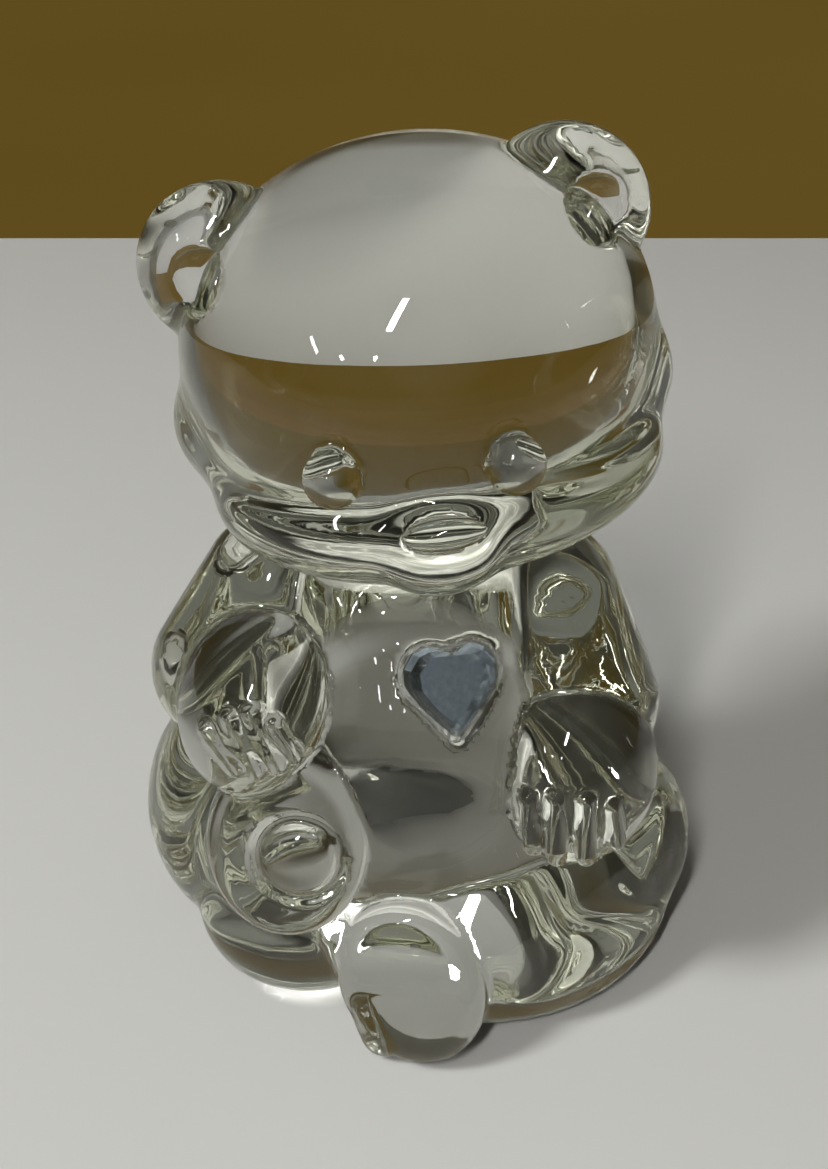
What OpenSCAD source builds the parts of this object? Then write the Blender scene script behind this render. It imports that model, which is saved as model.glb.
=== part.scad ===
// Solid crystal figurine of a seated teddy bear with a heart-shaped flat-back
// stone bonded in a shallow recess on its chest.
// +Z is up, the bear faces -Y and its flat base rests on z = 0.

/* [Figurine] */
// overall height from the table to the top of the higher ear
figure_h = 91.3; // [75:0.1:125]
// head roll towards the bear's right shoulder, degrees
head_roll = 8.5; // [0:0.5:15]

/* [Head] */
// half width of the skull
skull_rx = 22.7; // [20:0.1:27]
// half depth of the skull
skull_ry = 21; // [18:0.1:25]
// half height of the skull
skull_rz = 19; // [16:0.1:24]
// half width of the jowls
jowl_rx = 20.9; // [18:0.1:24]
// radius of each round ear
ear_r = 8; // [5:0.1:9]
// half thickness of each ear
ear_t = 5.2; // [3:0.1:6]
// radius of the dished cup in the front of each ear
cup_r = 3.3; // [2:0.1:5]
// radius of each bead eye
eye_r = 2.7; // [1.8:0.1:3.4]
// distance of each eye from the middle of the face
eye_x = 7.9; // [6:0.1:10]

/* [Body] */
// half width of the torso
torso_rx = 23; // [19:0.5:26]
// half depth of the torso
torso_ry = 21.5; // [17:0.5:24]
// radius of the upper arms
arm_r = 8; // [6:0.1:9]
// half height of the paws
paw_r = 9.4; // [7:0.1:11]
// radius of the legs
leg_r = 11.4; // [9:0.1:13]
// half width of the upright sole
sole_rx = 8.2; // [6:0.1:10]
// half height of the upright sole
sole_rz = 10.2; // [7:0.1:12]
// radius of the round pad on the sole
pad_r = 3.6; // [2.5:0.1:5]
// radius of each claw
claw_r = 1.15; // [0.6:0.05:1.4]

/* [Heart stone] */
// width of the stone across its lobes
stone_w = 9.3; // [7:0.1:12]
// overall thickness of the stone
stone_t = 2.7; // [2:0.1:3.6]
// height of the straight band around the stone's edge
girdle_t = 0.7; // [0.4:0.05:1.2]
// size of the flat top facet as a fraction of the outline
table_f = 0.66; // [0.5:0.01:0.85]
// thickness of the mirror backing
foil_t = 0.12; // [0.08:0.01:0.3]
// lean of the stone back from upright, degrees
stone_lean = 30; // [15:1:45]

/* [Bonding] */
// thickness of the adhesive bed under the stone
bed_t = 0.25; // [0.15:0.05:0.5]
// width of the adhesive ring around the stone
glue_w = 0.6; // [0.4:0.05:1.5]
// height of the adhesive ring above the bed
glue_h = 1.2; // [0.4:0.1:2]
// depth of the recess floor below the chest's surface
recess_d = 2; // [1.2:0.1:3]

/* [Hidden] */
k = figure_h / 91.3;           // everything is drawn for a height of 91.3 and scaled by this
big = 38;                      // facets round the large forms
mid = 28;                      // facets round the limbs
low = 16;                      // facets round the small details
head_at = [0.7, -1.5, 68];
stone_at = [3.9, -16.1, 40.8];
sole_at = [-12.4, -13.6, 22.3];
sole_a = [-14, 0, -6];
pad_at = [1.5, -5.9, -0.9];    // middle of the pad, from the middle of the foot
lobe_r = stone_w * 0.295;      // radius of each lobe of the heart
lobe_x = stone_w * 0.205;
lobe_y = stone_w * 0.175;
tip_r = stone_w * 0.055;
tip_y = -stone_w * 0.445;
crown_t = stone_t - girdle_t;
cut = [[0, 0.965], [0.1, 1], [girdle_t, 1], [girdle_t + crown_t * 0.52, 0.865], [stone_t - 0.01, table_f]];

// an ellipsoid: centre, half sizes, turn
module blob(c, r, a = [0, 0, 0], f = mid) {
  translate(c) rotate(a) scale(r) sphere(r = 1, $fn = f);
}

// a tapered limb with round ends
module limb(a, b, ra, rb, f = mid) {
  hull() {
    translate(a) sphere(r = ra, $fn = f);
    translate(b) sphere(r = rb, $fn = f);
  }
}

// an oval foot with a flat sole facing -Y
module foot(c, rx, rz, t, edge, a) {
  translate(c) rotate(a) hull() for (y = [-t + edge, t - edge])
    translate([0, y, 0]) scale([rx, edge, rz]) sphere(r = 1, $fn = mid);
  translate(c) rotate(a) rotate([90, 0, 0]) scale([rx - edge * 0.7, rz - edge * 0.7, 1])
    cylinder(r = 1, h = 2 * t, center = true, $fn = mid);
}

// four claws fanned over the end of a paw: middle, spacing step, length step, how far the outer two sit back
module claws(c, step, run, bow) {
  for (i = [-1.5 : 1 : 1.5])
    limb(c + i * step - run / 2 + [0, bow * i * i, 0], c + i * step + run / 2 + [0, bow * i * i, 0], claw_r, claw_r, 10);
}

// one half of the heart's outline: side, widening all round
module half_heart(s, w = 0) {
  hull() {
    translate([s * lobe_x, lobe_y]) circle(r = lobe_r + w, $fn = 28);
    translate([0, tip_y]) circle(r = tip_r + w, $fn = 12);
    translate([0, stone_w * 0.34]) circle(r = stone_w * 0.1 + w, $fn = 12);
  }
}

// heart outline, widened by w all round
module heart(w = 0) {
  for (s = [-1, 1]) half_heart(s, w);
}

// places its children on the chest, local +Z out of the glass
module on_chest() {
  translate(stone_at) rotate([90 - stone_lean, 0, 12]) children();
}

// middle of each ear in the head's own frame
function ear_c(s) = s < 0 ? [-17, 1.6, 12.4] : [15.2, 1.6, 13.2];

module head() {
  blob([0, 1, 2.7], [skull_rx, skull_ry, skull_rz], f = big);
  // temples, jowls, the muzzle and the button nose
  blob([-0.6, 0, -1.5], [skull_rx + 1.5, 13, 13.5], f = big);
  blob([0.6, -4.2, -8.4], [jowl_rx, 16.6, 8.3], f = big);
  blob([0.2, -15.8, -9], [6.8, 6.4, 5.8], f = mid);
  blob([1, -21.9, -6.1], [3.8, 1.6, 1.5], f = low);
  for (s = [-1, 1]) {
    blob([s * eye_x, -19.5, s < 0 ? -0.6 : -1.6], [eye_r, eye_r * 0.89, eye_r], f = low);
    blob(ear_c(s), [ear_r, ear_t, ear_r], [0, s * 50, 0], mid);
  }
}

module ear_cups() {
  for (s = [-1, 1])
    blob(ear_c(s) + (s < 0 ? [-0.8, -5.2, 0.3] : [2.2, -5.2, 0.9]),
         [cup_r * 0.88, cup_r * 1.27, cup_r * 1.09], [0, s * 50, 0], low + 4);
}

// the groove round the pad on the upright sole
module pad_groove() {
  translate(sole_at) rotate(sole_a) translate(pad_at) rotate([90, 0, 0])
    rotate_extrude($fn = 28) translate([pad_r + 0.7, 0]) circle(r = 0.65, $fn = 10);
}

module bear() {
  blob([0, 3.2, 21.5], [torso_rx, torso_ry, 25], f = big);
  blob([1, -3, 29], [14, 17, 19.5], f = big);
  blob([0.5, -0.5, 42.5], [16.5, 13, 11.5], f = big);
  blob([1.5, 3, 7.5], [25.5, 21, 11.5], f = big);
  // bear's right leg: knee up, sole to the front
  blob([-17.6, 1.5, 13.8], [12, 14, 14.3], [0, -8, 0], big);
  limb([-17.4, 3.5, 16], [-13, -6, 16], leg_r + 0.2, leg_r - 0.8);
  blob([-11.5, -7.5, 8], [12, 11, 10], f = mid);
  foot(sole_at, sole_rx, sole_rz, 6, 2.2, sole_a);
  // bear's left leg: folded across the front, its sole at the middle
  limb([18.6, -1, 11.6], [5.5, -13.2, 8.6], leg_r + 0.6, leg_r - 1.6);
  blob([12.2, -7.6, 5.6], [17, 12.6, 9.4], [0, 0, 32], mid);
  foot([0.6, -17.6, 7.2], 7.4, 8.8, 7, 2, [-24, -30, 2]);
  limb([-6.6, -17.6, 11.6], [-2.8, -22.8, 3], 3.3, 2.9, low);
  limb([4.6, -18, 12.2], [5.6, -20.6, 6], 2.6, 2.4, low);
  // arms and paws
  limb([-13.8, -1, 43.5], [-19, -4.5, 36], arm_r, arm_r);
  blob([-15.9, -11.6, 36.6], [paw_r - 2, paw_r, paw_r], [24, 18, 0]);
  limb([12.6, -2.5, 43], [16.4, -6, 33], arm_r + 0.4, arm_r + 0.8);
  blob([16.2, -10.4, 27.8], [paw_r - 0.7, paw_r, paw_r + 1.8], [16, -6, 0]);
  claws([-15.3, -20, 37.2], [2.05, 0.1, 0.3], [2.3, -0.8, -4.8], 0.1);
  claws([15.5, -19.5, 26.7], [2.7, 0, 0], [0.4, -0.5, -6], 0.4);
  translate(head_at) rotate([0, -head_roll, 0]) head();
}

module glass_body() color([0.86, 0.89, 0.88, 0.35]) scale(k) {
  difference() {
    bear();
    translate(head_at) rotate([0, -head_roll, 0]) ear_cups();
    on_chest() translate([0, 0, -recess_d]) linear_extrude(height = 12) heart(glue_w);
    pad_groove();
    translate([-60, -60, -60]) cube([120, 120, 60]);
  }
  // the domed pad inside the groove
  translate(sole_at) rotate(sole_a) blob(pad_at, [pad_r, 1.5, pad_r], f = low + 4);
}

module heart_stone() color([0.32, 0.38, 0.43]) scale(k)
  on_chest() translate([0, 0, -recess_d + bed_t + foil_t]) {
    for (s = [-1, 1], i = [0 : 3]) hull() for (j = [i, i + 1])
      translate([0, 0, cut[j][0]]) linear_extrude(height = 0.01) scale(cut[j][1]) half_heart(s);
  }

module stone_foil() color([0.75, 0.76, 0.78]) scale(k)
  on_chest() translate([0, 0, -recess_d + bed_t]) linear_extrude(height = foil_t) heart();

module adhesive() color([0.9, 0.9, 0.86, 0.35]) scale(k)
  on_chest() translate([0, 0, -recess_d]) difference() {
    linear_extrude(height = bed_t + glue_h) heart(glue_w);
    translate([0, 0, bed_t]) linear_extrude(height = glue_h + 1) heart();
  }

glass_body();
heart_stone();
stone_foil();
adhesive();
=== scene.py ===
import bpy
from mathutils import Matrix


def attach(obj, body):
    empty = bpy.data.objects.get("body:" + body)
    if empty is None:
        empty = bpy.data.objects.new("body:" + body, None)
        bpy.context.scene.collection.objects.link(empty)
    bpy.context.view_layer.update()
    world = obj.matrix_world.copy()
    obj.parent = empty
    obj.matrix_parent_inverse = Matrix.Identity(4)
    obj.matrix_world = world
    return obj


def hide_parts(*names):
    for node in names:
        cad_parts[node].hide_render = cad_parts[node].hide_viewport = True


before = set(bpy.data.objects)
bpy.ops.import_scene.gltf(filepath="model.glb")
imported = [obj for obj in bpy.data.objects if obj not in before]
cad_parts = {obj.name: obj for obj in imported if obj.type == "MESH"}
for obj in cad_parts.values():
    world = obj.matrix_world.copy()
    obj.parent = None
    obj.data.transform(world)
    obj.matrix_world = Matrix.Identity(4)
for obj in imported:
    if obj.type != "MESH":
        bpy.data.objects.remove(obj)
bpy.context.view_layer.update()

import math
import bpy
import bmesh
import numpy as np
from mathutils import Matrix, Vector

MM = 0.001
scene = bpy.context.scene
rng = np.random.default_rng(7)

# ---- camera: the photograph's viewing angle ----
ELEV, DIST, FPX, AIM = 31.0, 185.0, 1793.0, (0.0, 0.0, 43.0)
e = math.radians(ELEV)
cam_data = bpy.data.cameras.new("camera")
cam = bpy.data.objects.new("camera", cam_data)
scene.collection.objects.link(cam)
back = Vector((0, -math.cos(e), math.sin(e)))
cam.location = (Vector(AIM) + back * DIST) * MM
cam.rotation_mode = "QUATERNION"
cam.rotation_quaternion = (-back).to_track_quat("-Z", "Y")
cam_data.sensor_width = 36.0
cam_data.lens = 36.0 * FPX / 1169.0
cam_data.clip_start, cam_data.clip_end = 0.005, 20.0
cam_data.dof.use_dof = False
scene.camera = cam

# ---- signed distance shapes ----

def rot(rx=0.0, ry=0.0, rz=0.0):
    """Rotation matrix, x then y then z, in degrees, as OpenSCAD's rotate([x, y, z])."""
    a, b, c = (math.radians(v) for v in (rx, ry, rz))
    X = np.array([[1, 0, 0], [0, math.cos(a), -math.sin(a)], [0, math.sin(a), math.cos(a)]])
    Y = np.array([[math.cos(b), 0, math.sin(b)], [0, 1, 0], [-math.sin(b), 0, math.cos(b)]])
    Z = np.array([[math.cos(c), -math.sin(c), 0], [math.sin(c), math.cos(c), 0], [0, 0, 1]])
    return Z @ Y @ X

class Prim:
    """Signed distance, negative inside. M and c place it: world = M @ local + c."""
    def __init__(s, M, c): s.M = np.asarray(M, float); s.c = np.asarray(c, float)
    def loc(s, p): return (p - s.c) @ s.M
    def placed(s, M, c):
        import copy
        n = copy.copy(s); n.M = M @ s.M; n.c = M @ s.c + np.asarray(c, float); return n
    def box(s):
        e = s.ext(); A = np.abs(s.M); h = A @ e; return s.c - h, s.c + h

class Ell(Prim):
    def __init__(s, c, r, R=(0, 0, 0)):
        super().__init__(rot(*R), c); s.r = np.asarray(r, float)
    def ext(s): return s.r
    def __call__(s, p):
        q = s.loc(p); k0 = np.sqrt(((q / s.r) ** 2).sum(-1)); k1 = np.sqrt(((q / s.r ** 2) ** 2).sum(-1))
        return np.where(k1 > 1e-9, k0 * (k0 - 1) / np.maximum(k1, 1e-9), -s.r.min())

class Cone(Prim):
    """Round cone from a, radius ra, to b, radius rb."""
    def __init__(s, a, b, ra, rb):
        a, b = np.asarray(a, float), np.asarray(b, float); d = b - a; L = np.linalg.norm(d); z = d / L
        t = np.array([1.0, 0, 0]) if abs(z[0]) < .9 else np.array([0, 1.0, 0]); x = np.cross(t, z); x /= np.linalg.norm(x)
        super().__init__(np.stack([x, np.cross(z, x), z], 1), a); s.L, s.ra, s.rb = L, ra, rb
    def box(s):
        b = s.M @ np.array([0, 0, s.L]) + s.c; m = np.stack([s.c - s.ra, s.c + s.ra, b - s.rb, b + s.rb]); return m.min(0), m.max(0)
    def __call__(s, p):
        q = s.loc(p); y = q[..., 2]; x = np.sqrt(q[..., 0] ** 2 + q[..., 1] ** 2)
        b = (s.ra - s.rb) / s.L; a = math.sqrt(max(1 - b * b, 1e-9)); k = -b * x + a * y
        return np.where(k < 0, np.sqrt(x * x + y * y) - s.ra, np.where(k > a * s.L, np.sqrt(x * x + (y - s.L) ** 2) - s.rb, a * x + b * y - s.ra))

class Tor(Prim):
    """Ring in the local xy plane: R major, r minor; squash scales the local z of the tube."""
    def __init__(s, c, R, r, A=(0, 0, 0)):
        super().__init__(rot(*A), c); s.R, s.rr = R, r
    def ext(s): return np.array([s.R + s.rr, s.R + s.rr, s.rr])
    def __call__(s, p):
        q = s.loc(p); x = np.sqrt(q[..., 0] ** 2 + q[..., 1] ** 2) - s.R
        return np.sqrt(x * x + q[..., 2] ** 2) - s.rr

class Disc(Prim):
    """Rounded disc: radii (a, b) in local x, z... an elliptic cylinder about local y, half thickness h, edge radius e."""
    def __init__(s, c, a, b, h, e, A=(0, 0, 0)):
        super().__init__(rot(*A), c); s.a, s.b, s.h, s.e = a, b, h, e
    def ext(s): return np.array([s.a, s.h, s.b])
    def __call__(s, p):
        q = s.loc(p); a, b = s.a - s.e, s.b - s.e
        k0 = np.sqrt((q[..., 0] / a) ** 2 + (q[..., 2] / b) ** 2); k1 = np.sqrt((q[..., 0] / a ** 2) ** 2 + (q[..., 2] / b ** 2) ** 2)
        dr = np.where(k1 > 1e-9, k0 * (k0 - 1) / np.maximum(k1, 1e-9), -min(a, b)); dy = np.abs(q[..., 1]) - (s.h - s.e)
        return np.minimum(np.maximum(dr, dy), 0) + np.sqrt(np.maximum(dr, 0) ** 2 + np.maximum(dy, 0) ** 2) - s.e

def smin(a, b, k):
    if k <= 1e-6: return np.minimum(a, b)
    h = np.maximum(k - np.abs(a - b), 0) / k
    return np.minimum(a, b) - h * h * h * k / 6

class Field:
    def __init__(s): s.ops = []
    def add(s, prim, k=1.0, name=''): s.ops.append(('u', prim, k, name)); return s
    def cut(s, prim, k=0.5, name=''): s.ops.append(('s', prim, k, name)); return s
    def at(s, p):
        d = np.full(p.shape[:-1], 1e3)
        for op, prim, k, _ in s.ops:
            v = prim(p)
            d = smin(d, v, k) if op == 'u' else -smin(-d, v, k)
        return s.clip(d, p)
    def clip(s, d, p):
        e = getattr(s, 'edge', 0.8)
        return -smin(-d, p[..., 2], e)      # the flat base at z = 0, with a rounded edge
    def grid(s, lo, hi, h):
        lo, hi = np.asarray(lo, float), np.asarray(hi, float); n = np.ceil((hi - lo) / h).astype(int) + 1
        ax = [lo[i] + h * np.arange(n[i]) for i in range(3)]
        D = np.full(n, 50.0)
        for op, prim, k, _ in s.ops:
            a, b = prim.box(); m = k + 3 * h + (1.5 if op == 'u' else 0.5)
            i0 = np.clip(np.floor((a - m - lo) / h).astype(int), 0, n); i1 = np.clip(np.ceil((b + m - lo) / h).astype(int) + 1, 0, n)
            if (i1 <= i0).any(): continue
            sl = tuple(slice(i0[j], i1[j]) for j in range(3))
            P = np.stack(np.meshgrid(*[ax[j][sl[j]] for j in range(3)], indexing='ij'), -1)
            v = prim(P)
            D[sl] = smin(D[sl], v, k) if op == 'u' else -smin(-D[sl], v, k)
        Z = ax[2][None, None, :]
        D = -smin(-D, np.broadcast_to(Z, D.shape), getattr(s, 'edge', 0.8))
        return D, lo

def nets(D, lo, h):
    """Surface nets: vertices and quads of the zero set."""
    inside = D < 0
    n = np.array(D.shape) - 1
    c = [inside[i:n[0] + i, j:n[1] + j, k:n[2] + k] for i in (0, 1) for j in (0, 1) for k in (0, 1)]
    cnt = sum(x.astype(np.int8) for x in c); act = (cnt > 0) & (cnt < 8)
    idx = -np.ones(act.shape, np.int64); cell = np.argwhere(act); idx[act] = np.arange(len(cell))
    acc = np.zeros((len(cell), 3)); w = np.zeros(len(cell))
    corners = [np.array(v) for v in np.ndindex(2, 2, 2)]
    val = {tuple(v): D[tuple((cell + v).T)] for v in corners}
    for a in corners:
        for ax in range(3):
            if a[ax]: continue
            b = a.copy(); b[ax] = 1
            va, vb = val[tuple(a)], val[tuple(b)]; x = (va < 0) != (vb < 0)
            t = np.where(x, va / np.where(x, va - vb, 1), 0)
            p = np.broadcast_to(a.astype(float), (len(cell), 3)).copy(); p[:, ax] = t
            acc[x] += p[x]; w[x] += 1
    V = lo + h * (cell + acc / w[:, None])
    quads = []
    for ax in range(3):
        u, v = [(1, 2), (2, 0), (0, 1)][ax]
        sl0 = [slice(None)] * 3; sl1 = [slice(None)] * 3; sl0[ax] = slice(0, -1); sl1[ax] = slice(1, None)
        A, B = inside[tuple(sl0)], inside[tuple(sl1)]; x = A != B
        e = np.argwhere(x); e = e[(e[:, u] > 0) & (e[:, v] > 0) & (e[:, u] < n[u]) & (e[:, v] < n[v])]
        flip = A[tuple(e.T)]
        du = np.zeros(3, int); du[u] = 1; dv = np.zeros(3, int); dv[v] = 1
        q = np.stack([idx[tuple((e - du - dv).T)], idx[tuple((e - dv).T)], idx[tuple(e.T)], idx[tuple((e - du).T)]], 1)
        q[~flip] = q[~flip][:, ::-1]; quads.append(q)
    return V, np.concatenate(quads)

def project(F, V, steps=4, eps=0.02):
    for _ in range(steps):
        d = F.at(V); g = np.stack([F.at(V + np.eye(3)[i] * eps) - F.at(V - np.eye(3)[i] * eps) for i in range(3)], -1) / (2 * eps)
        V = V - g * (d / np.maximum((g * g).sum(-1), 0.04))[:, None].clip(-0.4, 0.4)
    return V

def relax(V, Q, F, rounds=3):
    """Evens out the quads along the surface, then puts the points back on it."""
    n = len(V)
    for _ in range(rounds):
        acc = np.zeros((n, 3)); w = np.zeros(n)
        for a, b in ((0, 1), (1, 2), (2, 3), (3, 0)):
            for i, j in ((a, b), (b, a)):
                np.add.at(acc, Q[:, i], V[Q[:, j]]); np.add.at(w, Q[:, i], 1)
        V = V + 0.6 * (acc / w[:, None] - V)
        V = project(F, V, 1)
    return project(F, V, 2)

# ---- the bear's shape, in millimetres ----

STONE_AT = np.array((3.9, -16.1, 40.8))      # middle of the stone, on the chest
STONE_M = rot(0, 0, 12) @ rot(60, 0, 0)      # its own +Z points out of the glass
RECESS = 2.0


def heart_sdf(x, y, w=9.5):
    """Signed distance to the heart outline, about, in its own plane."""
    def seg(ax, ay, bx, by, r):
        px, py, vx, vy = x - ax, y - ay, bx - ax, by - ay
        t = np.clip((px * vx + py * vy) / (vx * vx + vy * vy), 0, 1)
        return np.hypot(px - vx * t, py - vy * t) - r
    d = 1e3
    for s in (-1, 1):
        # a lobe and the straight side down to the tip, as a cone of circles
        ax, ay, ra, bx, by, rb = s * 0.205 * w, 0.175 * w, 0.295 * w, 0.0, -0.445 * w, 0.055 * w
        L = math.hypot(bx - ax, by - ay); ux, uy = (bx - ax) / L, (by - ay) / L
        px, py = x - ax, y - ay
        yy = px * ux + py * uy; xx = np.abs(-px * uy + py * ux)
        b = (ra - rb) / L; a = math.sqrt(1 - b * b); k = -b * xx + a * yy
        v = np.where(k < 0, np.hypot(xx, yy) - ra, np.where(k > a * L, np.hypot(xx, yy - L) - rb, a * xx + b * yy - ra))
        d = np.minimum(d, v)
    return np.minimum(d, seg(0, 0.33 * w, 0, -0.2 * w, 0.11 * w))


class Recess(Prim):
    """The shallow heart-shaped dish that the stone is bonded in."""
    def __init__(s, grow=0.95, depth=RECESS):
        super().__init__(STONE_M, STONE_AT); s.g, s.dp = grow, depth
    def ext(s): return np.array([7.2, 7.2, 7.0])
    def __call__(s, p):
        q = s.loc(p); dr = heart_sdf(q[..., 0], q[..., 1]) - s.g + 0.35
        dz = np.abs(q[..., 2] - (7.0 - s.dp) + 0.35 - 0.35) - 7.0 + 0.35
        return np.minimum(np.maximum(dr, dz), 0) + np.hypot(np.maximum(dr, 0), np.maximum(dz, 0)) - 0.35


def build(detail=True):
    F = Field(); F.edge = 1.2
    # torso and the seat
    F.add(Ell((0, 3.2, 21.5), (23.0, 21.5, 25.0)), 0, 'torso')
    F.add(Ell((1, -3, 29), (14.0, 17.0, 19.5)), 1.5, 'belly')
    F.add(Ell((0.5, -0.5, 42.5), (16.5, 13.0, 11.5)), 2.0, 'chest')
    F.add(Ell((1.5, 3.0, 7.5), (25.5, 21.0, 11.5)), 2.0, 'seat')
    F.add(Ell((-17.6, 1.5, 13.8), (12.0, 14.0, 14.3), (0, -8, 0)), 1.2, 'hipL')
    # bear's right leg, on the viewer's left: knee up, sole to the front
    F.add(Cone((-17.4, 3.5, 16.0), (-13.0, -6, 16), 11.6, 10.6), 1.0, 'thighL')
    F.add(Ell((-11.5, -7.5, 8.0), (12.0, 11.0, 10.0)), 1.2, 'heelL')
    F.add(Disc((-12.4, -13.6, 22.3), 8.2, 10.2, 6.0, 2.2, (-14, 0, -6)), 0.5, 'footL')
    fl = rot(-14, 0, -6); pc = np.array((-12.4, -13.6, 22.3)) + fl @ np.array((1.5, -5.9, -0.9))
    F.cut(Tor((0, 0, 0), 4.3, 0.65, (90, 0, 0)).placed(fl, pc), 0.5, 'padring')
    F.add(Ell((0, 0, 0), (3.6, 1.5, 3.6)).placed(fl, pc), 0.4, 'padL')
    # bear's left leg, on the viewer's right: folded across the front, sole at the middle
    F.add(Cone((18.6, -1.0, 11.6), (5.5, -13.2, 8.6), 12.0, 9.8), 1.0, 'legR')
    F.add(Ell((12.2, -7.6, 5.6), (17.0, 12.6, 9.4), (0, 0, 32)), 2.5, 'shinR')
    F.add(Disc((0.6, -17.6, 7.2), 7.4, 8.8, 7.0, 2.0, (-24, -30, 2)), 0.5, 'footR')
    F.add(Cone((-6.6, -17.6, 11.6), (-2.8, -22.8, 3.0), 3.3, 2.9), 0.4, 'toes')
    F.add(Cone((4.6, -18.0, 12.2), (5.6, -20.6, 6.0), 2.6, 2.4), 0.6, 'footside')
    # arms
    F.add(Cone((-13.8, -1, 43.5), (-19.0, -4.5, 36), 8.0, 8.0), 0.8, 'armL')
    F.add(Ell((-15.9, -11.6, 36.6), (7.4, 9.4, 9.4), (24, 18, 0)), 0.5, 'pawL')
    F.add(Cone((12.6, -2.5, 43), (16.4, -6.0, 33), 8.4, 8.8), 0.8, 'armR')
    F.add(Ell((16.2, -10.4, 27.8), (8.7, 9.4, 11.2), (16, -6, 0)), 0.35, 'pawR')
    # claws: four on each paw, standing a little proud of it
    for p, q in (((-19.7, -19.2, 38.4), (-17.0, -20.7, 34.9)), ((-17.4, -19.7, 40.1), (-15.0, -20.5, 34.4)),
                 ((-15.4, -19.7, 40.7), (-13.0, -20.0, 34.7)), ((-13.2, -19.8, 39.4), (-11.5, -19.2, 35.3))):
        F.add(Cone(p, q, 0.9, 1.0), 0.12, 'clawL')
    for p, q in (((11.2, -18.2, 29.4), (11.9, -18.8, 24.0)), ((13.9, -19.1, 30.1), (14.2, -19.6, 23.3)),
                 ((16.7, -19.4, 30.1), (17.1, -19.6, 23.3)), ((19.3, -18.8, 28.9), (20.1, -18.2, 24.2))):
        F.add(Cone(p, q, 1.0, 1.1), 0.12, 'clawR')
    # head
    M = rot(0, -8.5, 0); H = np.array((0.7, -1.5, 68.0))
    def head(prim, k, name='', cut=False):
        p = prim.placed(M, H); (F.cut if cut else F.add)(p, k, name)
    head(Ell((0, 1.0, 2.7), (22.7, 21.0, 19.0)), 1.0, 'cranium')
    head(Ell((-0.4, 0.0, -2.6), (24.1, 13.0, 13.0)), 2.0, 'temple')
    head(Ell((0.3, -4.2, -8.4), (21.5, 16.6, 8.3)), 3.0, 'jowl')
    head(Ell((0.2, -15.8, -9.0), (6.8, 6.4, 5.8)), 1.6, 'muzzle')
    head(Ell((1.0, -21.9, -6.1), (3.8, 1.6, 1.5)), 0.5, 'nose')
    for sx in (-1, 1):
        ez = -0.6 if sx < 0 else -1.6
        head(Tor((sx * 7.9, -19.4, ez), 3.4, 0.45, (82, 0, sx * 22)), 0.4, 'eyering', cut=True)
        head(Ell((sx * 7.9, -19.5, ez), (2.7, 2.4, 2.7)), 0.2, 'eye')
    for sx, ec, cup in ((-1, (-17.0, 1.6, 12.4), (-0.8, -5.2, 0.3)), (1, (15.2, 1.6, 13.2), (2.2, -5.2, 0.9))):
        head(Ell(ec, (8.0, 5.2, 7.9), (0, sx * 50, 0)), 0.7, 'ear')
        head(Ell(tuple(np.array(ec) + cup), (2.9, 4.2, 3.6), (0, sx * 50, 0)), 0.6, 'earcup', cut=True)
    F.cut(Recess(0.5), 0.4, 'recess')
    return F


BOX = ((-36, -32, -1.5), (36, 28, 100))

# ---- helpers ----

def mesh_object(name, verts, faces, smooth=True):
    me = bpy.data.meshes.new(name)
    me.from_pydata([tuple(v) for v in np.asarray(verts, float).tolist()], [], [tuple(f) for f in faces])
    me.validate(); me.update()
    me.polygons.foreach_set("use_smooth", [smooth] * len(me.polygons))
    ob = bpy.data.objects.new(name, me)
    scene.collection.objects.link(ob)
    return ob


class Nodes:
    """A short way to write a node tree."""
    def __init__(s, name, world=False):
        if world:
            s.mat = bpy.data.worlds.new(name)
        else:
            s.mat = bpy.data.materials.new(name)
        s.mat.use_nodes = True
        s.t = s.mat.node_tree; s.t.nodes.clear(); s.n = 0
    def add(s, kind, inputs=None, **props):
        n = s.t.nodes.new(kind); n.location = (s.n * 180, 0); s.n += 1
        for k, v in props.items(): setattr(n, k, v)
        for k, v in (inputs or {}).items():
            i = n.inputs[k]
            if isinstance(v, bpy.types.NodeSocket): s.t.links.new(v, i)
            else: i.default_value = v
        return n
    def link(s, a, b): s.t.links.new(a, b)
    def ramp(s, fac, stops, mode="LINEAR"):
        n = s.add("ShaderNodeValToRGB", {"Fac": fac}); r = n.color_ramp; r.interpolation = mode
        while len(r.elements) < len(stops): r.elements.new(0.5)
        for el, (p, c) in zip(r.elements, stops): el.position = p; el.color = (*c[:3], 1.0)
        return n.outputs["Color"]


def finish_piece(ob, mat, body="root", nodes=()):
    ob.data.materials.clear(); ob.data.materials.append(mat)
    if nodes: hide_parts(*nodes)
    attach(ob, body)
    return ob


# ---- materials ----

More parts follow.
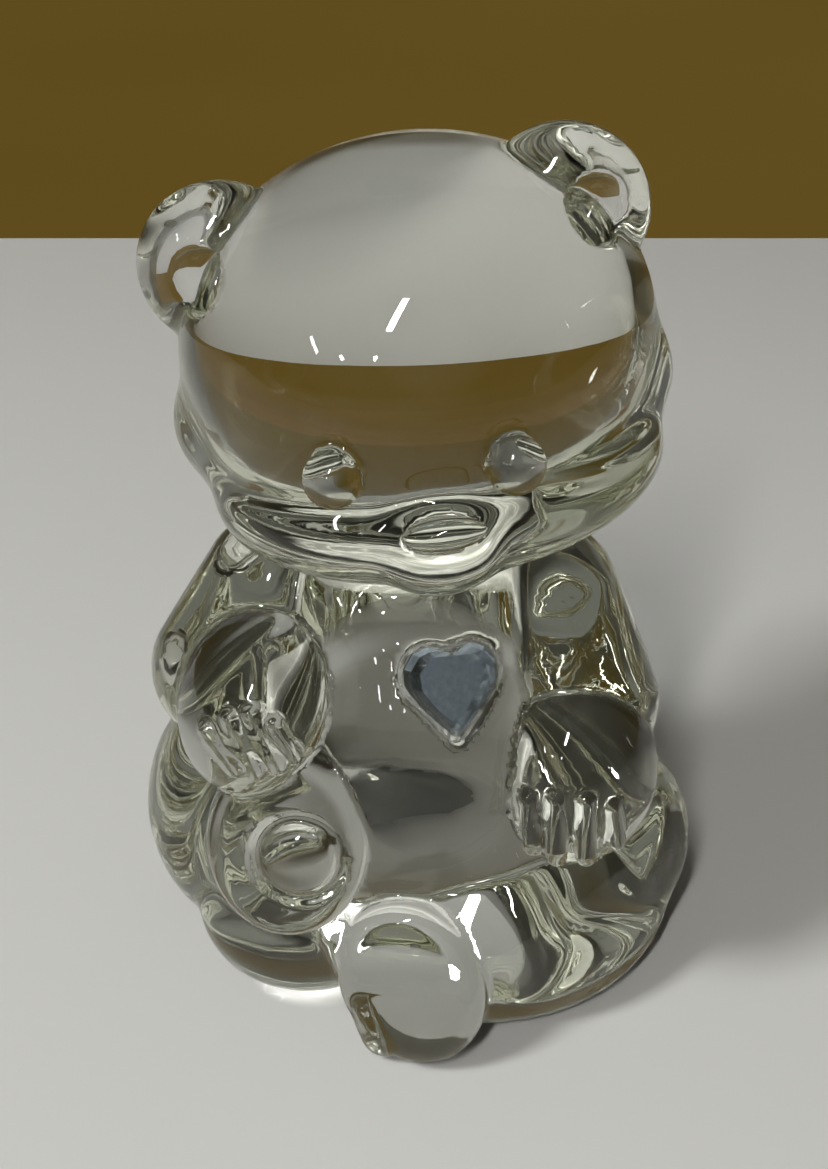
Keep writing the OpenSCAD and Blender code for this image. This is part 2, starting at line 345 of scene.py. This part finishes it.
def glass_material():
    t = Nodes("crystal_glass")
    co = t.add("ShaderNodeTexCoord").outputs["Object"]
    tint = t.add("ShaderNodeTexNoise", {"Vector": co, "Scale": 18.0, "Detail": 2.0, "Roughness": 0.5})
    col = t.ramp(tint.outputs["Fac"], [(0.3, (0.966, 0.967, 0.962)), (0.7, (0.978, 0.978, 0.970))])
    smear = t.add("ShaderNodeTexNoise", {"Vector": co, "Scale": 60.0, "Detail": 4.0, "Roughness": 0.6})
    rough = t.add("ShaderNodeMapRange", {"Value": smear.outputs["Fac"], "From Min": 0.45, "From Max": 0.8, "To Min": 0.0, "To Max": 0.012})
    wave = t.add("ShaderNodeTexNoise", {"Vector": co, "Scale": 95.0, "Detail": 1.0, "Roughness": 0.4})
    bump = t.add("ShaderNodeBump", {"Height": wave.outputs["Fac"], "Strength": 0.05, "Distance": 0.0004})
    p = t.add("ShaderNodeBsdfPrincipled", {"Base Color": col, "Roughness": rough.outputs["Result"], "Normal": bump.outputs["Normal"]})
    p.inputs["IOR"].default_value = 1.53
    p.inputs["Transmission Weight"].default_value = 1.0
    v = t.add("ShaderNodeVolumeAbsorption")
    v.inputs["Color"].default_value = (0.65, 0.69, 0.40, 1.0)
    v.inputs["Density"].default_value = 5.0
    t.add("ShaderNodeOutputMaterial", {"Surface": p.outputs["BSDF"], "Volume": v.outputs["Volume"]})
    return t.mat


def stone_material():
    t = Nodes("heart_stone_glass")
    co = t.add("ShaderNodeTexCoord").outputs["Object"]
    n = t.add("ShaderNodeTexNoise", {"Vector": co, "Scale": 900.0, "Detail": 3.0, "Roughness": 0.6})
    col = t.ramp(n.outputs["Fac"], [(0.3, (0.80, 0.86, 0.91)), (0.7, (0.86, 0.90, 0.94))])
    s = t.add("ShaderNodeTexNoise", {"Vector": co, "Scale": 2500.0, "Detail": 4.0, "Roughness": 0.7})
    rough = t.add("ShaderNodeMapRange", {"Value": s.outputs["Fac"], "From Min": 0.4, "From Max": 0.8, "To Min": 0.01, "To Max": 0.07})
    p = t.add("ShaderNodeBsdfPrincipled", {"Base Color": col, "Roughness": rough.outputs["Result"]})
    p.inputs["IOR"].default_value = 1.55
    p.inputs["Transmission Weight"].default_value = 1.0
    t.add("ShaderNodeOutputMaterial", {"Surface": p.outputs["BSDF"]})
    return t.mat


def foil_material():
    t = Nodes("foil_mirror")
    co = t.add("ShaderNodeTexCoord").outputs["Object"]
    n = t.add("ShaderNodeTexNoise", {"Vector": co, "Scale": 1400.0, "Detail": 4.0, "Roughness": 0.6})
    col = t.ramp(n.outputs["Fac"], [(0.3, (0.66, 0.73, 0.79)), (0.7, (0.90, 0.94, 0.97))])
    rough = t.add("ShaderNodeMapRange", {"Value": n.outputs["Fac"], "From Min": 0.3, "From Max": 0.8, "To Min": 0.10, "To Max": 0.22})
    p = t.add("ShaderNodeBsdfPrincipled", {"Base Color": col, "Roughness": rough.outputs["Result"]})
    p.inputs["Metallic"].default_value = 1.0
    t.add("ShaderNodeOutputMaterial", {"Surface": p.outputs["BSDF"]})
    return t.mat


def glue_material():
    t = Nodes("cured_adhesive")
    co = t.add("ShaderNodeTexCoord").outputs["Object"]
    n = t.add("ShaderNodeTexNoise", {"Vector": co, "Scale": 700.0, "Detail": 4.0, "Roughness": 0.6})
    col = t.ramp(n.outputs["Fac"], [(0.35, (0.72, 0.72, 0.68)), (0.7, (0.90, 0.91, 0.88))])
    rough = t.add("ShaderNodeMapRange", {"Value": n.outputs["Fac"], "From Min": 0.35, "From Max": 0.75, "To Min": 0.03, "To Max": 0.25})
    bump = t.add("ShaderNodeBump", {"Height": n.outputs["Fac"], "Strength": 0.25, "Distance": 0.0002})
    p = t.add("ShaderNodeBsdfPrincipled", {"Base Color": col, "Roughness": rough.outputs["Result"], "Normal": bump.outputs["Normal"]})
    p.inputs["IOR"].default_value = 1.46
    p.inputs["Transmission Weight"].default_value = 0.85
    t.add("ShaderNodeOutputMaterial", {"Surface": p.outputs["BSDF"]})
    return t.mat


GLASS, STONE, FOIL, GLUE = glass_material(), stone_material(), foil_material(), glue_material()

# ---- the glass casting ----

F = build()
step = 0.52
D, org = F.grid(*BOX, step)
V, Q = nets(D, org, step)
V = relax(V, Q, F, 3)
V[:, 2] = np.maximum(V[:, 2], 0.0)
body = mesh_object("crystal_bear", V * MM, Q)
finish_piece(body, GLASS, nodes=("glass_body",))

# ---- the heart stone: girdle, two rings of bevel facets and a flat table ----

def heart_outline(n_lobe=5):
    """Corners of the cut stone's girdle, anticlockwise from the tip, unit width."""
    right = [(0.0, -0.500), (0.185, -0.345), (0.375, -0.125), (0.490, 0.080), (0.487, 0.265), (0.385, 0.415), (0.225, 0.468), (0.085, 0.440)]
    cleft = [(0.0, 0.395)]
    left = [(-x, y) for x, y in reversed(right[1:])]
    return right + cleft + left


def table_outline():
    """Corners of the flat top facet, a shield with a straight top edge, matched to the girdle's corners."""
    right = [(0.0, -0.352), (0.150, -0.248), (0.262, -0.100), (0.352, 0.030), (0.366, 0.215), (0.262, 0.335), (0.205, 0.366), (0.085, 0.368)]
    return right + [(0.0, 0.368)] + [(-x, y) for x, y in reversed(right[1:])]


def stone_mesh(w=9.3, t=2.7, girdle=0.7):
    out, top = np.array(heart_outline()) * w, np.array(table_outline()) * w
    c = np.array((0.0, 0.02 * w))
    n = len(out)
    rings = [(0.0, (out - c) * 0.965 + c), (0.10, out), (girdle, out), (girdle + (t - girdle) * 0.58, out + (top - out) * 0.40), (t, top)]
    verts, faces = [], []
    for z, ring in rings:
        for x, y in ring: verts.append((x, y, z))
    for r in range(len(rings) - 1):
        for i in range(n):
            j = (i + 1) % n
            faces.append((r * n + i, r * n + j, (r + 1) * n + j, (r + 1) * n + i))
    faces.append(tuple(range(n - 1, -1, -1)))
    faces.append(tuple((len(rings) - 1) * n + i for i in range(n)))
    return np.array(verts), faces


def on_chest(v, z0):
    v = np.array(v, float) + np.array((0, 0, z0))
    return (v @ STONE_M.T + STONE_AT) * MM


BED, FOIL_T = 0.25, 0.12
v, f = stone_mesh()
stone = mesh_object("heart_flatback", on_chest(v, -RECESS + BED + FOIL_T), f, smooth=False)
finish_piece(stone, STONE, nodes=("heart_stone",))

# the mirror backing, just under it
v2 = []; f2 = []
out = np.array(heart_outline()) * 9.3 * 0.955
n = len(out)
for z in (0.0, FOIL_T - 0.01):
    v2 += [(x, y, z) for x, y in out]
f2 = [tuple(range(n - 1, -1, -1)), tuple(range(n, 2 * n))] + [(i, (i + 1) % n, n + (i + 1) % n, n + i) for i in range(n)]
foil = mesh_object("mirror_backing", on_chest(v2, -RECESS + BED), f2, smooth=False)
finish_piece(foil, FOIL, nodes=("stone_foil",))

# the adhesive: a bed under the stone and an uneven bead squeezed up round it

class Glue:
    def at(s, q):
        """q in the stone's own frame."""
        x, y, z = q[..., 0], q[..., 1], q[..., 2]
        h = heart_sdf(x, y)
        wob = 0.10 * np.sin(2.3 * x + 0.7) * np.cos(1.9 * y - 0.4) + 0.06 * np.sin(5.1 * x - 3.3 * y)
        outer = np.maximum(h - 0.46, np.abs(z + RECESS - 0.5) - 0.49)
        top = z + RECESS - (1.15 + 2.2 * wob + 0.35 * np.exp(-((x - 2.6) ** 2 + (y + 3.6) ** 2) / 2.2))
        body = np.maximum(np.maximum(h - 0.46 - 0.25 * wob, top), -(z + RECESS - 0.02))
        hole = np.maximum(h + 0.02, -(z + RECESS - BED))
        return np.maximum(body, -hole)


g = Glue(); gs = 0.14
ax = [np.arange(-7.2, 7.2, gs), np.arange(-7.4, 7.2, gs), np.arange(-RECESS - 0.5, 1.4, gs)]
P = np.stack(np.meshgrid(*ax, indexing="ij"), -1)
GV, GQ = nets(g.at(P), np.array([a[0] for a in ax]), gs)
glue = mesh_object("adhesive_bead", on_chest(GV, 0.0), GQ)
finish_piece(glue, GLUE, nodes=("adhesive",))

# ---- floor, backdrop and light ----

def floor_material():
    t = Nodes("table_top")
    co = t.add("ShaderNodeTexCoord").outputs["Object"]
    n = t.add("ShaderNodeTexNoise", {"Vector": co, "Scale": 9.0, "Detail": 3.0, "Roughness": 0.5})
    col = t.ramp(n.outputs["Fac"], [(0.2, (0.517, 0.511, 0.486)), (0.8, (0.530, 0.525, 0.500))])
    r = t.add("ShaderNodeMapRange", {"Value": n.outputs["Fac"], "From Min": 0.1, "From Max": 0.9, "To Min": 0.25, "To Max": 0.27})
    sep = t.add("ShaderNodeSeparateXYZ", {"Vector": co})
    # the table darkens towards the front, out of the camera's view: painted shade standing in for the dimmer table in
    # front of the bear, which is seen only in the glass's reflections
    far = t.ramp(t.add("ShaderNodeMapRange", {"Value": sep.outputs["Y"], "From Min": -0.26, "From Max": -0.07, "To Min": 0.0, "To Max": 1.0}).outputs["Result"], [(0.0, (0.25, 0.25, 0.25)), (1.0, (1, 1, 1))])
    mix = t.add("ShaderNodeMix", data_type="RGBA", blend_type="MULTIPLY"); mix.inputs[0].default_value = 1.0
    t.link(col, mix.inputs[6]); t.link(far, mix.inputs[7])
    def spot(x, y, rx, ry, inner, outer):
        m = t.add("ShaderNodeMapping", {"Vector": co}, vector_type="TEXTURE")
        m.inputs["Location"].default_value = (x, y, 0.0); m.inputs["Scale"].default_value = (rx, ry, 1.0)
        d = t.add("ShaderNodeVectorMath", {0: m.outputs["Vector"]}, operation="LENGTH")
        return t.add("ShaderNodeMapRange", {"Value": d.outputs["Value"], "From Min": inner, "From Max": outer, "To Min": 1.0, "To Max": 0.0}, interpolation_type="SMOOTHSTEP").outputs["Result"]
    # a deeper shadow just behind the back, which is seen only through the belly
    shade = t.add("ShaderNodeMix", data_type="RGBA", blend_type="MULTIPLY")
    t.link(spot(0.0010, 0.0335, 0.0190, 0.0150, 0.35, 1.0), shade.inputs[0]); t.link(mix.outputs[2], shade.inputs[6]); shade.inputs[7].default_value = (0.46, 0.45, 0.42, 1.0)
    p = t.add("ShaderNodeBsdfPrincipled", {"Base Color": shade.outputs[2], "Roughness": r.outputs["Result"]})
    p.inputs["Specular IOR Level"].default_value = 0.4
    # light that the glass gathers on the table under it: a pale patch with bright curved lines,
    # brightest at the front left, kept inside the footprint so that it is seen only through the glass
    lines = t.add("ShaderNodeTexNoise", {"Vector": co, "Scale": 85.0, "Detail": 2.0, "Roughness": 0.45, "Distortion": 1.4}).outputs["Fac"]
    ridge = t.add("ShaderNodeMath", {0: t.add("ShaderNodeMath", {0: lines, 1: 0.5}, operation="SUBTRACT").outputs[0]}, operation="ABSOLUTE").outputs[0]
    line = t.ramp(t.add("ShaderNodeMath", {0: ridge, 1: 6.0}, operation="MULTIPLY").outputs[0], [(0.0, (1.15, 1.15, 1.10)), (0.12, (0.68, 0.68, 0.64)), (0.5, (0.50, 0.50, 0.47)), (1.0, (0.36, 0.36, 0.33))])
    wide = spot(0.0015, -0.0005, 0.0235, 0.0155, 0.72, 1.0)
    hot = spot(-0.0105, -0.0115, 0.0075, 0.0055, 0.35, 1.0)
    glow = t.add("ShaderNodeMath", {0: t.add("ShaderNodeMath", {0: hot, 1: 2.6}, operation="MULTIPLY").outputs[0], 1: wide}, operation="ADD").outputs[0]
    glow = t.add("ShaderNodeMath", {0: glow, 1: spot(0.0068, 0.0138, 0.0042, 0.0036, 0.4, 1.0)}, operation="MAXIMUM").outputs[0]
    e = t.add("ShaderNodeEmission", {"Color": line, "Strength": glow})
    both = t.add("ShaderNodeAddShader"); t.link(p.outputs["BSDF"], both.inputs[0]); t.link(e.outputs["Emission"], both.inputs[1])
    t.add("ShaderNodeOutputMaterial", {"Surface": both.outputs["Shader"]})
    return t.mat


def backdrop_material():
    t = Nodes("backdrop_ochre")
    co = t.add("ShaderNodeTexCoord").outputs["Object"]
    n = t.add("ShaderNodeTexNoise", {"Vector": co, "Scale": 3.0, "Detail": 2.0, "Roughness": 0.5})
    col = t.ramp(n.outputs["Fac"], [(0.3, (0.135, 0.085, 0.015)), (0.7, (0.160, 0.103, 0.020))])
    y = t.add("ShaderNodeSeparateXYZ", {"Vector": co}).outputs["Y"]
    fall = t.add("ShaderNodeMapRange", {"Value": y, "From Min": 0.32, "From Max": 0.60, "To Min": 0.78, "To Max": 0.75}).outputs["Result"]
    p = t.add("ShaderNodeEmission", {"Color": col, "Strength": fall})
    t.add("ShaderNodeOutputMaterial", {"Surface": p.outputs["Emission"]})
    return t.mat


def grid_object(name, x0, x1, y0, y1, z, nx=8, ny=8):
    xs, ys = np.linspace(x0, x1, nx + 1), np.linspace(y0, y1, ny + 1)
    v = [(x, y, z) for y in ys for x in xs]
    f = [(j * (nx + 1) + i, j * (nx + 1) + i + 1, (j + 1) * (nx + 1) + i + 1, (j + 1) * (nx + 1) + i) for j in range(ny) for i in range(nx)]
    return mesh_object(name, v, f, smooth=False)


EDGE = 0.220
floor = grid_object("floor", -1.6, 1.6, -1.6, EDGE, -0.00004)
floor.data.materials.append(floor_material())
drop = grid_object("backdrop", -4.0, 4.0, EDGE, 4.0, -0.00004)
drop.data.materials.append(backdrop_material())

world = Nodes("studio_world", world=True)
d = world.add("ShaderNodeTexCoord").outputs["Generated"]
sep = world.add("ShaderNodeSeparateXYZ", {"Vector": d})
up = world.ramp(sep.outputs["Z"], [(0.0, (0.082, 0.057, 0.008)), (0.35, (0.070, 0.050, 0.009)), (0.55, (0.046, 0.040, 0.020)), (0.85, (0.10, 0.10, 0.09)), (0.93, (0.22, 0.22, 0.21)), (1.0, (0.24, 0.24, 0.23))])
dim = world.ramp(sep.outputs["Z"], [(0.0, (0.024, 0.024, 0.018)), (0.45, (0.034, 0.034, 0.028)), (0.80, (0.055, 0.055, 0.050)), (0.93, (0.22, 0.22, 0.21)), (1.0, (0.24, 0.24, 0.23))])
# a softly lit patch of room low in front of the bear
dot = world.add("ShaderNodeVectorMath", {0: d}, operation="DOT_PRODUCT"); dot.inputs[1].default_value = (0.11, -0.925, 0.362)
near = world.add("ShaderNodeMapRange", {"Value": dot.outputs["Value"], "From Min": 0.885, "From Max": 0.972, "To Min": 0.0, "To Max": 1.0}, interpolation_type="SMOOTHSTEP")
lit = world.add("ShaderNodeMix", data_type="RGBA"); lit.inputs[7].default_value = (0.165, 0.168, 0.160, 1.0)
world.link(near.outputs["Result"], lit.inputs[0]); world.link(dim, lit.inputs[6]); front = lit.outputs[2]
side = world.add("ShaderNodeMapRange", {"Value": sep.outputs["Y"], "From Min": -0.1, "From Max": 0.2, "To Min": 0.0, "To Max": 1.0})
mix = world.add("ShaderNodeMix", data_type="RGBA")
world.link(side.outputs["Result"], mix.inputs[0]); world.link(front, mix.inputs[6]); world.link(up, mix.inputs[7])
bg = world.add("ShaderNodeBackground", {"Color": mix.outputs[2], "Strength": 1.0})
world.add("ShaderNodeOutputWorld", {"Surface": bg.outputs["Background"]})
scene.world = world.mat


def toward(az, el, dist):
    """A place seen from the object at that azimuth, counted from the front towards the viewer's right, and elevation."""
    a, b = math.radians(az), math.radians(el)
    return Vector((math.sin(a) * math.cos(b), -math.cos(a) * math.cos(b), math.sin(b))) * dist + Vector((0, 0, 0.06))


def area(name, at, sx, sy, watts, turn=0.0, colour=(1, 1, 1)):
    ld = bpy.data.lights.new(name, "AREA"); ld.shape = "RECTANGLE"; ld.size, ld.size_y = sx, sy
    ld.energy = watts; ld.color = colour
    ob = bpy.data.objects.new(name, ld); scene.collection.objects.link(ob)
    ob.location = at
    q = (Vector((0, 0, 0.06)) - Vector(at)).to_track_quat("-Z", "Y")
    ob.rotation_mode = "QUATERNION"
    ob.rotation_quaternion = q @ Matrix.Rotation(math.radians(turn), 4, "Z").to_quaternion()
    return ob


key = area("key_tube", toward(-15, 44, 1.0), 0.045, 0.32, 5.8, turn=-12, colour=(1.0, 0.99, 0.97))
key.visible_transmission = False
soft = area("soft_left", toward(-62, 43, 1.2), 0.26, 0.26, 11.8, colour=(0.97, 0.99, 1.0))
soft.visible_glossy = False; soft.visible_transmission = False
area("far_tube_a", toward(-51, 21, 1.6), 0.04, 0.26, 0.8, turn=40)
far = [area("far_tube_b", toward(-36, 18, 1.6), 0.04, 0.08, 0.4, turn=40), area("far_tube_c", toward(-21, 20, 1.6), 0.04, 0.08, 0.4, turn=-10)]
for s in far: s.visible_transmission = False
panel = area("ceiling_panel", toward(176, 60, 1.3), 1.0, 0.75, 0.50)
strips = [panel, area("strip_a", toward(150, 68, 1.4), 0.03, 0.5, 2.2, turn=20), area("strip_b", toward(205, 64, 1.4), 0.03, 0.4, 1.8, turn=-35),
          area("strip_c", toward(-104, 24, 1.4), 0.022, 0.5, 1.6, turn=15), area("strip_d", toward(98, 18, 1.4), 0.022, 0.4, 1.3, turn=-20)]
for s in strips: s.visible_glossy = False; s.visible_diffuse = False

cy = scene.cycles
cy.max_bounces = 32; cy.transmission_bounces = 32; cy.glossy_bounces = 16
cy.caustics_refractive = False

scene.view_settings.view_transform = "Standard"
scene.view_settings.exposure = 0.0

bpy.context.view_layer.update()
